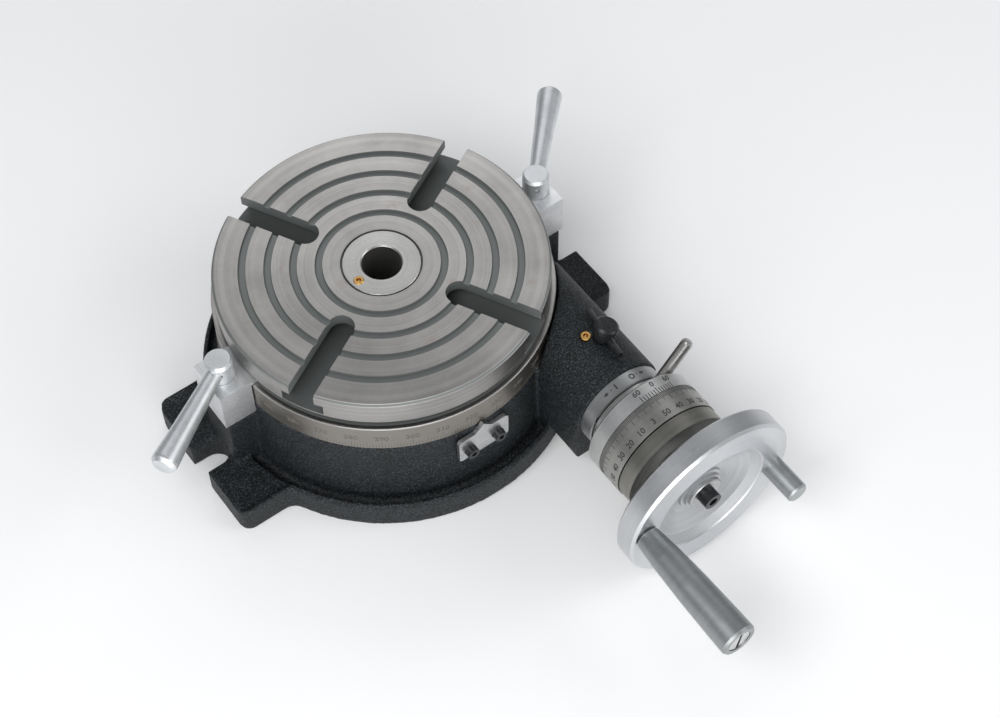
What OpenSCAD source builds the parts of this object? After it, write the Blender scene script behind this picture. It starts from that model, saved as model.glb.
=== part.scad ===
// Rotary table for a milling machine: a T-slotted table turned by a worm and a 90-tooth wheel.
// Millimetres, +Z up. The origin is on the table's axis, on the plane that the base stands on.
// +X and -X carry the two lugs and rim clamps, and the worm lies along Y at +X.

/* [Table] */
// Height of the table's top face above the base's underside
table_top = 80; // [78:0.5:84]
// Radius of the table's top face
table_r = 75; // [74:0.5:76]
// Angle of the first T-slot from +X
slot_angle = 28.3; // [0:0.1:89]
// Width of a T-slot's throat
slot_w = 12; // [10:0.5:14]
// Width of a T-slot's foot
slot_foot_w = 20; // [18:0.5:22]
// Radius of the centre sleeve's visible face
hub_r = 17.5; // [16:0.5:20]
// Radius of the centre taper at the top face
taper_r = 9.0; // [8:0.1:10]

/* [Base] */
// Outside radius of the round foot
foot_r = 87; // [85:0.5:90]
// Height of the foot's lip and of the lugs
lip_h = 15.6; // [12:0.2:18]
// Distance from the axis to each lug's end
lug_x = 104; // [100:0.5:110]
// Half the width of a lug
lug_half_w = 37; // [30:0.5:42]
// Width of the bolt slot in a lug
lug_slot_w = 14; // [12:0.5:16]

/* [Worm drive] */
// Number of teeth on the worm wheel
wheel_teeth = 90; // [90:1:90]
// Distance from the table's axis to the worm's axis
worm_x = 55; // [54.5:0.1:55.5]
// Height of the worm's axis
worm_z = 45; // [44.5:0.1:45.2]
// Distance between the worm's axis and the sleeve's axis
throw = 2.5; // [2.2:0.1:2.8]
// Radius of the graduated dial and the vernier ring
dial_r = 27; // [25:0.5:29]
// Radius of the handwheel
handwheel_r = 43; // [38:0.5:44]
// Length of the revolving grip
grip_l = 60; // [40:1:80]

/* [Clamps] */
// Distance from the table's axis to each clamp stud
clamp_x = 84.7; // [84.2:0.1:85.5]
// Length of a clamp lever from its stud
lever_l = 54; // [40:1:60]
// Angle of the left lever from +X
left_lever_angle = 212; // [190:1:230]
// Angle of the right lever from +X
right_lever_angle = 46; // [20:1:60]

/* [Hidden] */
$fn = 96;

cast_black = "#202224";
steel = "#b9bcc0";
dark_steel = "#4a4c50";
black_oxide = "#1b1b1d";
aluminium = "#d4d6d8";
brass = "#c79a4b";
bronze = "#b07a3c";

eps = 0.01;
fit = 0.04;

// Table sections, from the top down
rim_chamfer = 1.2;
rim_bottom = table_top - 12.6;
neck_r = table_r - 3;
flange_r = table_r + 2;
flange_top = table_top - 15.8;
flange_bottom = table_top - 30.5;
slot_throat_h = 6;
slot_floor = table_top - 12;
slot_end_r = 38;
slot_length = 60;
groove_radii = [27.8, 39.0, 50.3, 61.6];
groove_w = 3.4;
groove_depth = 1.6;
groove_taper = 0.25;
hub_gap = 0.8;
hub_gap_depth = 1.5;
recess_in = 45.5;
recess_out = 70.5;
recess_top = flange_bottom + 10.5;
spindle_r = 24;
spindle_bottom = 12.9;
thread_r = 20;
thread_bottom = 4;

// Centre sleeve and its 1:20 taper
hub_bottom = 16;
hub_cone_bottom = 34;
taper_slope = 0.02498;
draw_r = 7.2;
oiler_r = 2.4;
oiler_ball_r = 1.3;
hub_oiler_r = 13.7;
hub_oiler_angle = 189;

// Worm and worm wheel
worm_pitch_r = 8;
module_mm = 2 * (worm_x - worm_pitch_r) / wheel_teeth;
wheel_pitch_r = worm_x - worm_pitch_r;
tooth_up = 0.95;
tooth_down = 1.25;
tooth_half = 0.56;
flank = tan(20);
lead = PI * module_mm;
worm_l = 22;
worm_turn_steps = 18;
wheel_ring_in = 30;
wheel_face_bottom = 41;

// Base sections
base_top = flange_bottom - 0.15;
body_r = 77.2;
body_foot_r = 79;
trough_bottom = 9;
lip_in = 84.6;
lip_round = 2;
lug_fillet = 8;
cavity_in = 32;
cavity_out = 68;
cavity_floor = 17;
recess_floor = 13;
bottom_recess_r = 33;
bearing_top = 39.6;
lug_rim = 2;
lug_sink = 2;
lug_corner_r = 5;
slot_reach = 14.5;

// Worm housing and its eccentric sleeve, measured along -Y from the table's axis
sleeve_z = worm_z - throw;
barrel_r = 22;
collar_r = 21;
sleeve_r = 15;
sleeve_bore_r = 9.3;
housing_front = 101;
housing_under = 15;
sleeve_inner = 67;
collar_front = 108;
lever_ring_r = 20;
lever_ring_front = 113.9;
vernier_front = 122;
dial_back = 122.3;
dial_front = 134.8;
dial_flange = 135;
dial_step_r = 17;
dial_step = 124.4;
hub_back = 142.8;
rim_back = 153.7;
rim_front = 164.7;
boss_front = 159.6;
nose_r = 13;
dial_hub_r = 14;
shaft_r = 5;
tail_r = 4;
shaft_end = 158.6;
rear_bush_r = 8.4;
rear_boss_in = 20;
rear_boss_out = 31;
rod_r = 2.65;
rod_angle = 50;
rod_tip = 44.8;
rod_at = 111.1;
rod_root = 14;

// Handwheel details
handle_at_r = 36;
handle_angle = 170;
rim_in_r = 29;
axle_r = 3;
grip_gap = 0.6;
weight_r = 5;
weight_l = 18;

// Clamps
boss_top = 44;
boss_out = 91;
boss_half_w = 11;
jaw_bottom = boss_top + 0.3;
jaw_top = flange_top + 2.6;
jaw_out = clamp_x + 7.4;
lip_under = flange_top + 0.3;
stud_r = 4;
nut_r = 6.2;
clamp_washer_h = 1;
nut_bottom = jaw_top + clamp_washer_h;
nut_top = table_top - 0.8;
lever_z = (nut_bottom + nut_top) / 2;
tommy_r = 1.3;
tommy_angle = -120;

// Lock screw for the sleeve
lock_y = -80.7;
lock_tilt = 74;
lock_neck_r = 4;
lock_head_r = 5.6;
lock_bar_at = 24.6;
lock_bar_l = 28;
lock_bar_turn = 8;

// Index plate
plate_x = -2.6;
plate_y = 77.35;
plate_t = 2;
plate_half_w = 13.2;
plate_low = 31;
plate_high = 46;
plate_tip = 50.6;
plate_screw_dx = 7.4;
plate_screw_z = 36.2;

// A solid of revolution about Z from [radius, height] points
module revolve(points) {
    rotate_extrude() polygon(points);
}

// A tube about Z
module tube(r_out, r_in, z0, z1) {
    translate([0, 0, z0]) difference() {
        cylinder(h = z1 - z0, r = r_out);
        translate([0, 0, -1]) cylinder(h = z1 - z0 + 2, r = r_in);
    }
}

// Puts a shape drawn about Z on the worm's axis, with its +Z towards the handwheel
module on_worm() {
    translate([worm_x, 0, worm_z]) rotate([90, 0, 0]) children();
}

// Puts a shape drawn about Z on the sleeve's axis, with its +Z towards the handwheel
module on_sleeve() {
    translate([worm_x, 0, sleeve_z]) rotate([90, 0, 0]) children();
}

// Puts a shape drawn about Z on the lock screw's axis, measured out from the sleeve's axis
module on_lock() {
    translate([worm_x, lock_y, sleeve_z]) rotate([0, 90 - lock_tilt, 0]) children();
}

// A block between two corners
module block(a, b) {
    translate(a) cube(b - a);
}

// A socket head cap screw about Z, head upwards, with the underside of its head at z = 0
module cap_screw(r, length, head_r, head_h) {
    difference() {
        union() {
            cylinder(h = head_h, r = head_r);
            translate([0, 0, -length]) cylinder(h = length + eps, r = r);
        }
        translate([0, 0, head_h * 0.45]) cylinder(h = head_h, r = r * 0.95, $fn = 6);
    }
}

// The throat or the foot of one T-slot along +X
module slot_cut(w, z0, z1) {
    translate([slot_end_r, 0, z0]) cylinder(h = z1 - z0, r = w / 2);
    block([slot_end_r, -w / 2, z0], [slot_end_r + slot_length, w / 2, z1]);
}

// The turned table, with ring grooves, four T-slots and a graduated flange
module table() {
    color(steel) difference() {
        revolve([
            [hub_r, table_top - hub_gap_depth], [hub_r + hub_gap, table_top - hub_gap_depth],
            [hub_r + hub_gap, table_top], [table_r - rim_chamfer, table_top],
            [table_r, table_top - rim_chamfer],
            [table_r, rim_bottom], [neck_r, rim_bottom], [neck_r, flange_top],
            [flange_r - 0.4, flange_top], [flange_r, flange_top - 0.4], [flange_r, flange_bottom],
            [recess_out, flange_bottom], [recess_out, recess_top], [recess_in, recess_top],
            [recess_in, flange_bottom], [spindle_r, flange_bottom], [spindle_r, spindle_bottom],
            [thread_r, spindle_bottom], [thread_r, thread_bottom], [hub_r, thread_bottom]
        ]);
        for (r = groove_radii)
            revolve([
                [r - groove_w / 2, table_top + 1], [r - groove_w / 2, table_top],
                [r - groove_w / 2 + groove_taper, table_top - groove_depth],
                [r + groove_w / 2 - groove_taper, table_top - groove_depth],
                [r + groove_w / 2, table_top], [r + groove_w / 2, table_top + 1]
            ]);
        for (i = [0:3])
            rotate([0, 0, slot_angle + 90 * i]) {
                slot_cut(slot_w, slot_floor + 1, table_top + 1);
                slot_cut(slot_foot_w, slot_floor, table_top - slot_throat_h);
            }
        for (i = [0:3])
            rotate([0, 0, 45 + 90 * i])
                translate([38, 0, flange_bottom - 1]) cylinder(h = 8, r = 2);
    }
}

// The hardened centre sleeve with its taper and a straight draw bore below
module spindle_hub() {
    cone_low_r = taper_r - (table_top - hub_cone_bottom) * taper_slope;
    color(steel) difference() {
        revolve([
            [taper_r + 0.5, table_top], [hub_r - 0.25, table_top], [hub_r, table_top - 0.25],
            [hub_r, hub_bottom], [draw_r, hub_bottom], [draw_r, hub_cone_bottom],
            [cone_low_r, hub_cone_bottom], [taper_r, table_top - 0.5]
        ]);
        rotate([0, 0, hub_oiler_angle])
            translate([hub_oiler_r, 0, table_top - 4]) cylinder(h = 5, r = oiler_r);
    }
}

// A flush ball oiler about Z, its face at z = 0
module oiler() {
    color(brass) {
        revolve([
            [oiler_ball_r - 0.2, 0.3], [oiler_r - 0.3, 0.3], [oiler_r, 0], [oiler_r, -4],
            [oiler_ball_r - 0.2, -4]
        ]);
        translate([0, 0, -1.2]) sphere(r = oiler_ball_r - 0.1);
    }
}

module hub_oiler() {
    rotate([0, 0, hub_oiler_angle]) translate([hub_oiler_r, 0, table_top]) oiler();
}

// The bronze worm wheel, screwed under the table
module worm_wheel() {
    root_r = wheel_pitch_r - tooth_down;
    tip_r = wheel_pitch_r + tooth_up;
    root_half = tooth_half + tooth_down * flank;
    tip_half = tooth_half - tooth_up * flank;
    color(bronze) difference() {
        translate([0, 0, wheel_face_bottom])
            linear_extrude(flange_bottom - wheel_face_bottom) difference() {
                union() {
                    circle(r = root_r);
                    for (i = [0:wheel_teeth - 1])
                        rotate(i * 360 / wheel_teeth)
                            polygon([[root_r - 1, -root_half], [root_r, -root_half], [tip_r, -tip_half],
                                     [tip_r, tip_half], [root_r, root_half], [root_r - 1, root_half]]);
                }
                circle(r = wheel_ring_in);
            }
        for (i = [0:3])
            rotate([0, 0, 45 + 90 * i]) translate([38, 0, wheel_face_bottom]) {
                translate([0, 0, -1]) cylinder(h = 12, r = 2);
                translate([0, 0, -1]) cylinder(h = 5, r = 3.75);
            }
    }
}

module worm_wheel_screws() {
    color(black_oxide)
        for (i = [0:3])
            rotate([0, 0, 45 + 90 * i])
                translate([38, 0, wheel_face_bottom + 4]) rotate([180, 0, 0])
                    cap_screw(2, 10, 3.5, 3.8);
}

module thrust_washer() {
    color(bronze) tube(29.6, spindle_r + 0.3, bearing_top + 0.05, wheel_face_bottom - 0.05);
}

module spindle_washer() {
    color(steel) tube(31, thread_r, spindle_bottom - 2, spindle_bottom);
}

// The slotted ring nut that holds the table down
module spindle_nut() {
    color(dark_steel) {
        difference() {
            tube(30, thread_r, thread_bottom, spindle_bottom - 2);
            for (i = [0:3])
                rotate([0, 0, 90 * i]) block([27, -3, 3], [32, 3, 12]);
        }
    }
}

// The outline of both lugs, with round corners at their ends
module lug_outline() {
    inner_x = lug_x - lug_corner_r;
    inner_y = lug_half_w - lug_corner_r;
    square([2 * inner_x, 2 * lug_half_w], center = true);
    square([2 * lug_x, 2 * inner_y], center = true);
    for (sx = [-1, 1], sy = [-1, 1])
        translate([sx * inner_x, sy * inner_y]) circle(r = lug_corner_r);
}

// The web that rounds the corner between a lug and the round foot, in the first quadrant
module lug_fillet_outline() {
    centre_y = lug_half_w + lug_fillet;
    centre_x = sqrt(pow(foot_r + lug_fillet, 2) - pow(centre_y, 2));
    inward = (foot_r - 2) / (foot_r + lug_fillet);
    difference() {
        polygon([[centre_x, lug_half_w - 1], [centre_x, centre_y], [centre_x * inward, centre_y * inward],
                 [centre_x * inward, lug_half_w - 1]]);
        translate([centre_x, centre_y]) circle(r = lug_fillet);
    }
}

// The open-ended bolt slot in each lug
module lug_slot_outline() {
    r = lug_slot_w / 2;
    for (s = [-1, 1]) {
        translate([s * (lug_x - slot_reach + r), 0]) circle(r = r);
        translate([s * (lug_x - slot_reach + r) - (s < 0 ? 20 : 0), -r]) square([20, 2 * r]);
    }
}

// The outside of the casting before any holes
module base_body() {
    barrel_back = 30;
    rotate_extrude() {
        square([foot_r - lip_round, lip_h]);
        square([foot_r, lip_h - lip_round]);
        translate([foot_r - lip_round, lip_h - lip_round]) circle(r = lip_round);
    }
    translate([0, 0, trough_bottom]) cylinder(h = base_top - trough_bottom, r1 = body_foot_r, r2 = body_r);
    linear_extrude(lip_h) {
        lug_outline();
        for (a = [0, 180])
            rotate(a) {
                lug_fillet_outline();
                mirror([0, 1]) lug_fillet_outline();
            }
    }
    for (s = [-1, 1])
        block([s * boss_out - (s > 0 ? 25 : 0), -boss_half_w, 0],
              [s * boss_out + (s < 0 ? 25 : 0), boss_half_w, boss_top]);
    on_sleeve() translate([0, 0, barrel_back]) cylinder(h = housing_front - barrel_back, r = barrel_r);
    block([worm_x - barrel_r, -housing_front, housing_under],
          [worm_x + barrel_r, -barrel_back, sleeve_z]);
}

// The gutter around the body and the sunk tops of the lugs
module base_gutter() {
    gutter_mid = (lip_in + body_foot_r) / 2;
    gutter_r = (lip_in - body_foot_r) / 2;
    difference() {
        union() {
            rotate_extrude() {
                translate([gutter_mid, trough_bottom + gutter_r]) circle(r = gutter_r);
                translate([body_foot_r, trough_bottom + gutter_r]) square([2 * gutter_r, lip_h]);
            }
            translate([0, 0, lip_h - lug_sink]) linear_extrude(lug_sink + 1)
                difference() {
                    square([2 * lug_x + 2, 2 * (lug_half_w - lug_rim)], center = true);
                    circle(r = gutter_mid);
                }
        }
        for (s = [-1, 1])
            block([s * boss_out - (s > 0 ? 25 : 0), -boss_half_w, -1],
                  [s * boss_out + (s < 0 ? 25 : 0), boss_half_w, boss_top]);
        block([worm_x - barrel_r, -housing_front, -1], [worm_x + barrel_r, -50, sleeve_z]);
    }
}

// The cast iron base, with its worm housing, clamp bosses and lugs
module base_casting() {
    tunnel_r = 12;
    color(cast_black) difference() {
        union() {
            difference() {
                base_body();
                base_gutter();
                translate([0, 0, cavity_floor]) difference() {
                    cylinder(h = base_top, r = cavity_out);
                    translate([0, 0, -1]) cylinder(h = bearing_top - cavity_floor + 1, r = cavity_in);
                }
            }
            intersection() {
                on_sleeve() translate([0, 0, -rear_boss_out])
                    cylinder(h = rear_boss_out - rear_boss_in, r = rear_bush_r + 2.2);
                cylinder(h = table_top, r = cavity_out + 1.5);
            }
            intersection() {
                block([worm_x - 8, rear_boss_in, cavity_floor - 1],
                      [worm_x + 8, rear_boss_out, sleeve_z - 4]);
                cylinder(h = table_top, r = cavity_out + 1);
            }
        }
        translate([0, 0, base_top]) cylinder(h = table_top, r = flange_r + 0.8);
        translate([0, 0, -1]) cylinder(h = table_top, r = spindle_r + fit);
        translate([0, 0, -1]) cylinder(h = recess_floor + 1, r = bottom_recess_r);
        on_sleeve() {
            translate([0, 0, sleeve_inner - 0.4]) cylinder(h = 60, r = sleeve_r + fit);
            translate([0, 0, -15]) cylinder(h = 85, r = tunnel_r);
            translate([0, 0, -rear_boss_out - 1]) cylinder(h = 20, r = rear_bush_r + fit);
            for (a = [30, 150, 270])
                rotate([0, 0, a]) translate([18, 0, housing_front - 8]) cylinder(h = 9, r = 1.5);
        }
        on_lock() translate([0, 0, sleeve_r - 2]) cylinder(h = 20, r = stud_r);
        translate([worm_x, -76.3, sleeve_z + barrel_r - 4.3]) cylinder(h = 6, r = oiler_r);
        translate([0, 0, -1]) linear_extrude(lip_h + 4) lug_slot_outline();
        for (s = [-1, 1])
            translate([s * clamp_x, 0, boss_top - 18]) cylinder(h = 19, r = stud_r);
        block([plate_x - plate_half_w - 1, -housing_front, plate_low - 1],
              [plate_x + plate_half_w + 1, -plate_y, base_top + 1]);
        for (s = [-1, 1])
            translate([plate_x + s * plate_screw_dx, -plate_y + 8, plate_screw_z])
                rotate([90, 0, 0]) cylinder(h = 9, r = 1.5);
    }
}

// The fixed collar whose marks show which way the sleeve engages the worm
module on_off_collar() {
    color(aluminium) on_sleeve() difference() {
        revolve([
            [sleeve_r + 0.3, housing_front], [collar_r, housing_front], [collar_r, collar_front - 0.5],
            [collar_r - 0.5, collar_front], [sleeve_r + 0.3, collar_front]
        ]);
        for (a = [30, 150, 270])
            rotate([0, 0, a]) translate([18, 0, 0]) {
                cylinder(h = 200, r = 1.5);
                translate([0, 0, collar_front - 3.4]) cylinder(h = 10, r = 2.8);
            }
    }
}

module collar_screws() {
    color(black_oxide) on_sleeve()
        for (a = [30, 150, 270])
            rotate([0, 0, a]) translate([18, 0, collar_front - 3.4]) cap_screw(1.5, 10, 2.75, 3);
}

// The eccentric sleeve: its outside turns in the housing, its bore carries the worm off centre
module eccentric_sleeve() {
    color(steel) difference() {
        union() {
            on_sleeve() {
                translate([0, 0, sleeve_inner]) cylinder(h = lever_ring_front - sleeve_inner, r = sleeve_r);
                translate([0, 0, collar_front + 0.3])
                    cylinder(h = lever_ring_front - collar_front - 0.3, r = lever_ring_r);
            }
            on_worm() translate([0, 0, lever_ring_front - 1])
                cylinder(h = vernier_front - lever_ring_front + 0.6, r = nose_r);
        }
        on_worm() {
            translate([0, 0, sleeve_inner - 1]) cylinder(h = 80, r = sleeve_bore_r);
            for (a = [90, 270])
                rotate([0, 0, a]) translate([15.6, 0, lever_ring_front - 4]) cylinder(h = 9, r = 1.25);
        }
        on_sleeve() translate([0, 0, rod_at]) rotate([0, 90, rod_angle])
            translate([0, 0, rod_root]) cylinder(h = 20, r = rod_r);
    }
}

module sleeve_bushes() {
    color(bronze) on_worm() {
        tube(sleeve_bore_r, shaft_r, sleeve_inner + 0.2, sleeve_inner + 11);
        tube(sleeve_bore_r, shaft_r, vernier_front - 12, vernier_front - 0.6);
    }
}

// The small eccentric bush that carries the worm's tail
module rear_eccentric_bush() {
    color(bronze) difference() {
        on_sleeve() translate([0, 0, -rear_boss_out + 0.5])
            cylinder(h = rear_boss_out - rear_boss_in - 0.8, r = rear_bush_r);
        on_worm() translate([0, 0, -50]) cylinder(h = 60, r = tail_r);
    }
}

// The lever that swings the sleeve between on and off
module on_off_rod() {
    color(steel) on_sleeve() translate([0, 0, rod_at]) rotate([0, 90, rod_angle])
        revolve([
            [0, rod_root], [rod_r, rod_root], [rod_r, rod_tip - 1.4], [rod_r - 0.5, rod_tip - 0.4],
            [rod_r - 1.3, rod_tip], [0, rod_tip]
        ]);
}

module vernier_ring() {
    color(aluminium) on_worm() difference() {
        revolve([
            [nose_r, lever_ring_front + 0.1], [dial_r - 0.6, lever_ring_front + 0.1],
            [dial_r, lever_ring_front + 0.7], [dial_r, vernier_front], [nose_r, vernier_front]
        ]);
        for (a = [90, 270])
            rotate([0, 0, a]) translate([15.6, 0, 0]) {
                cylinder(h = 200, r = 1.25);
                translate([0, 0, vernier_front - 3]) cylinder(h = 5, r = 2.3);
            }
    }
}

module vernier_screws() {
    color(black_oxide) on_worm()
        for (a = [90, 270])
            rotate([0, 0, a]) translate([15.6, 0, vernier_front - 3]) cap_screw(1.25, 8, 2.25, 2.5);
}

// The profile of the worm across its axis, its crest along +X
module worm_section() {
    crest = (tooth_half - tooth_up * flank) / lead * 360;
    root = (tooth_half + tooth_down * flank) / lead * 360;
    low = worm_pitch_r - tooth_down;
    high = worm_pitch_r + tooth_up;
    angles = [
        for (t = [-1, -0.5, 0, 0.5, 1]) t * crest,
        for (t = [0.33, 0.67, 1]) crest + t * (root - crest),
        for (t = [0:0.125:1]) root + t * (360 - 2 * root),
        for (t = [0.33, 0.67]) 360 - root + t * (root - crest)
    ];
    function height_at(a) =
        let (m = min(abs(a), abs(360 - a)))
        m <= crest ? high : m >= root ? low : high - (high - low) * (m - crest) / (root - crest);
    polygon([for (a = angles) height_at(a) * [cos(a), sin(a)]]);
}

// The single-start worm, cut on its shaft
module worm_shaft() {
    turn = 360 * worm_l / lead;
    color(steel) on_worm() difference() {
        union() {
            linear_extrude(height = worm_l, center = true, twist = -turn, $fn = 20,
                           slices = round(turn / 360 * worm_turn_steps))
                rotate(-turn / 2) worm_section();
            translate([0, 0, -rear_boss_out + 0.8]) cylinder(h = 30, r = tail_r - fit);
            translate([0, 0, worm_l / 2 - 1]) cylinder(h = 100 - worm_l / 2, r = tail_r - fit);
            translate([0, 0, sleeve_inner - 0.2])
                cylinder(h = vernier_front - sleeve_inner, r = shaft_r - fit);
            translate([0, 0, 100]) cylinder(h = shaft_end - 100, r = shaft_r - 0.5);
        }
        translate([0, 0, shaft_end - 14]) cylinder(h = 15, r = 2.5);
        block([-1.5, 3, 145], [1.5, 6, 156]);
    }
}

module worm_nuts() {
    color(dark_steel) on_worm() {
        tube(7.5, tail_r - fit, sleeve_inner - 6.6, sleeve_inner - 3.6);
        tube(7.5, tail_r - fit, sleeve_inner - 3.5, sleeve_inner - 0.5);
    }
}

// The hub on the worm shaft that the dial turns on, with its dark turned flange
module dial_hub() {
    color(dark_steel) on_worm() revolve([
        [shaft_r - 0.5, dial_back + 0.2], [dial_hub_r, dial_back + 0.2], [dial_hub_r, dial_flange],
        [dial_r - 0.7, dial_flange], [dial_r - 0.4, dial_flange + 0.3], [dial_r - 0.4, hub_back - 0.3],
        [shaft_r - 0.5, hub_back - 0.3]
    ]);
}

module dial_ring() {
    color(aluminium) on_worm() revolve([
        [dial_step_r, dial_back], [dial_r, dial_back], [dial_r, dial_front],
        [dial_hub_r + fit, dial_front], [dial_hub_r + fit, dial_step], [dial_step_r, dial_step]
    ]);
}

module dial_spring() {
    color(steel) on_worm() tube(dial_step_r - 0.4, dial_hub_r, dial_step - 0.75, dial_step - 0.15);
}

module dial_circlip() {
    color(dark_steel) on_worm() difference() {
        tube(dial_step_r - 0.5, dial_hub_r, dial_back + 0.3, dial_step - 0.85);
        block([0, -2, dial_back], [20, 2, dial_step]);
    }
}

// The dished handwheel
module handwheel() {
    color(aluminium) on_worm() difference() {
        revolve([
            [shaft_r - 0.5, hub_back], [14, hub_back], [14.6, 147], [16.5, 150], [20, 151.8],
            [rim_in_r, 153], [rim_in_r + 3, rim_back], [handwheel_r - 1, rim_back],
            [handwheel_r, rim_back + 1], [handwheel_r, rim_front - 1.2], [handwheel_r - 1.2, rim_front],
            [rim_in_r, rim_front], [rim_in_r - 1, rim_front - 1], [rim_in_r - 4, rim_front - 3.7],
            [rim_in_r - 9, rim_front - 6], [15, 157.2], [11.5, 156.9], [11.2, 158],
            [9.8, 158.2], [9.6, boss_front], [shaft_r - 0.5, boss_front]
        ]);
        rotate([0, 0, handle_angle]) translate([handle_at_r, 0, rim_front - 9]) cylinder(h = 10, r = axle_r);
        rotate([0, 0, handle_angle + 180]) translate([handle_at_r - 1, 0, rim_front - 9])
            cylinder(h = 10, r = axle_r);
        block([-1.5, 3, hub_back - 1], [1.5, 6, boss_front + 1]);
    }
}

module handwheel_key() {
    color(dark_steel) on_worm() block([-1.5, 3, 145], [1.5, 6, 156]);
}

module handwheel_washer() {
    color(steel) on_worm()
        revolve([[2.6, boss_front], [8.4, boss_front], [8.4, boss_front + 1.4], [7.9, boss_front + 1.8],
                 [2.6, boss_front + 1.8]]);
}

module handwheel_screw() {
    color(black_oxide) on_worm() translate([0, 0, boss_front + 1.8]) cap_screw(2.5, 14, 4.25, 5);
}

// The fixed axle that the grip turns on, with a slotted head
module handle_axle() {
    grip_end = rim_front + grip_gap + grip_l;
    color(steel) on_worm() rotate([0, 0, handle_angle]) translate([handle_at_r, 0, 0]) difference() {
        union() {
            translate([0, 0, rim_front - 9]) cylinder(h = grip_end - 3.4 - rim_front + 9, r = axle_r);
            translate([0, 0, grip_end - 3.4]) cylinder(h = 3, r = 5.4);
        }
        block([-0.7, -7, grip_end - 1.9], [0.7, 7, grip_end + 1]);
    }
}

module handle_grip() {
    grip_back = rim_front + grip_gap;
    grip_end = grip_back + grip_l;
    color(aluminium) on_worm() rotate([0, 0, handle_angle]) translate([handle_at_r, 0, 0]) revolve([
        [axle_r + 0.05, grip_back], [5.2, grip_back], [5.5, grip_back + 0.3],
        [5.9, grip_back + grip_l * 0.06], [6.8, grip_back + grip_l * 0.22],
        [7.7, grip_back + grip_l * 0.5], [8.3, grip_back + grip_l * 0.85],
        [8.4, grip_end - 1.2], [7.6, grip_end], [5.6, grip_end], [5.6, grip_end - 3.6],
        [axle_r + 0.05, grip_end - 3.6]
    ]);
}

// The plain balance weight opposite the grip
module counterweight() {
    color(aluminium) on_worm() rotate([0, 0, handle_angle + 180]) translate([handle_at_r - 1, 0, 0])
        revolve([
            [0, rim_front - 8.5], [axle_r, rim_front - 8.5], [axle_r, rim_front], [weight_r, rim_front],
            [weight_r, rim_front + weight_l - 0.8], [weight_r - 0.8, rim_front + weight_l],
            [0, rim_front + weight_l]
        ]);
}

// The two studs, fixed in the base
module clamp_studs() {
    color(steel)
        for (s = [-1, 1])
            translate([s * clamp_x, 0, boss_top - 17]) cylinder(h = nut_top - 4 - boss_top + 17, r = stud_r);
}

// A clamp jaw at +X, its lip over the table's flange
module clamp_jaw() {
    color(steel) difference() {
        block([neck_r + 1.6, -boss_half_w, jaw_bottom], [jaw_out, boss_half_w, jaw_top]);
        translate([0, 0, -1]) cylinder(h = lip_under + 1, r = flange_r + 0.5);
        cylinder(h = table_top, r = neck_r + 1.6);
        translate([clamp_x, 0, 0]) cylinder(h = table_top, r = stud_r + 0.3);
    }
}

module clamp_washer() {
    color(steel) translate([clamp_x, 0, 0])
        tube(nut_r + 0.3, stud_r + 0.3, jaw_top, jaw_top + clamp_washer_h - 0.1);
}

// A clamp nut at +X, its lever hole turned to one angle and its tommy hole to another
module clamp_nut(angle, hole_angle) {
    color(aluminium) translate([clamp_x, 0, 0]) difference() {
        revolve([
            [0, nut_bottom + 7.6], [stud_r + fit, nut_bottom + 7.6], [stud_r + fit, nut_bottom],
            [nut_r, nut_bottom], [nut_r, nut_top - 1.4], [nut_r - 1, nut_top], [0, nut_top]
        ]);
        translate([0, 0, lever_z]) rotate([0, 90, angle]) translate([0, 0, stud_r + 0.1])
            cylinder(h = 5, r = 1.8);
        translate([0, 0, lever_z + 0.6]) rotate([0, 90, hole_angle]) translate([0, 0, stud_r + 0.3])
            cylinder(h = 5, r = tommy_r);
    }
}

// A tapered clamp lever at +X, pointing along the given angle
module clamp_lever(angle) {
    color(aluminium) translate([clamp_x, 0, lever_z]) rotate([0, 90, angle]) {
        translate([0, 0, stud_r + 0.3]) cylinder(h = 4, r = 1.8);
        difference() {
            revolve([
                [0, 4], [3.7, 4], [4.1, 14], [4.9, 34], [5.9, lever_l - 3], [5.8, lever_l - 1.6],
                [4.4, lever_l], [0, lever_l]
            ]);
            rotate([0, -90, 0]) translate([0, 0, -20]) cylinder(h = 40, r = nut_r);
        }
    }
}

module left_clamp_jaw() {
    rotate([0, 0, 180]) clamp_jaw();
}

module left_clamp_washer() {
    rotate([0, 0, 180]) clamp_washer();
}

module left_clamp_nut() {
    rotate([0, 0, 180]) clamp_nut(left_lever_angle - 180, tommy_angle - 180);
}

module left_clamp_lever() {
    rotate([0, 0, 180]) clamp_lever(left_lever_angle - 180);
}

module right_clamp_jaw() {
    clamp_jaw();
}

module right_clamp_washer() {
    clamp_washer();
}

module right_clamp_nut() {
    clamp_nut(right_lever_angle, tommy_angle);
}

module right_clamp_lever() {
    clamp_lever(right_lever_angle);
}

// The screw that locks the eccentric sleeve, turned by a bar
module lock_screw() {
    color(black_oxide) on_lock() difference() {
        revolve([
            [0, sleeve_r + 0.4], [stud_r - fit, sleeve_r + 0.4], [stud_r - fit, barrel_r + 0.6],
            [lock_neck_r + 0.1, barrel_r + 0.6], [lock_neck_r + 0.1, lock_bar_at + 2],
            [lock_head_r - 0.8, lock_bar_at + 2], [lock_head_r, lock_bar_at + 2.6],
            [lock_head_r, lock_bar_at + 4.7], [lock_head_r - 1, lock_bar_at + 5.6],
            [0, lock_bar_at + 5.6]
        ]);
        translate([0, 0, lock_bar_at]) rotate([90, 0, -lock_bar_turn])
            cylinder(h = 20, r = 1.5, center = true);
    }
}

module lock_bar() {
    color(black_oxide) on_lock() translate([0, 0, lock_bar_at]) rotate([90, 0, -lock_bar_turn])
        cylinder(h = lock_bar_l, r = 1.5, center = true);
}

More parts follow.
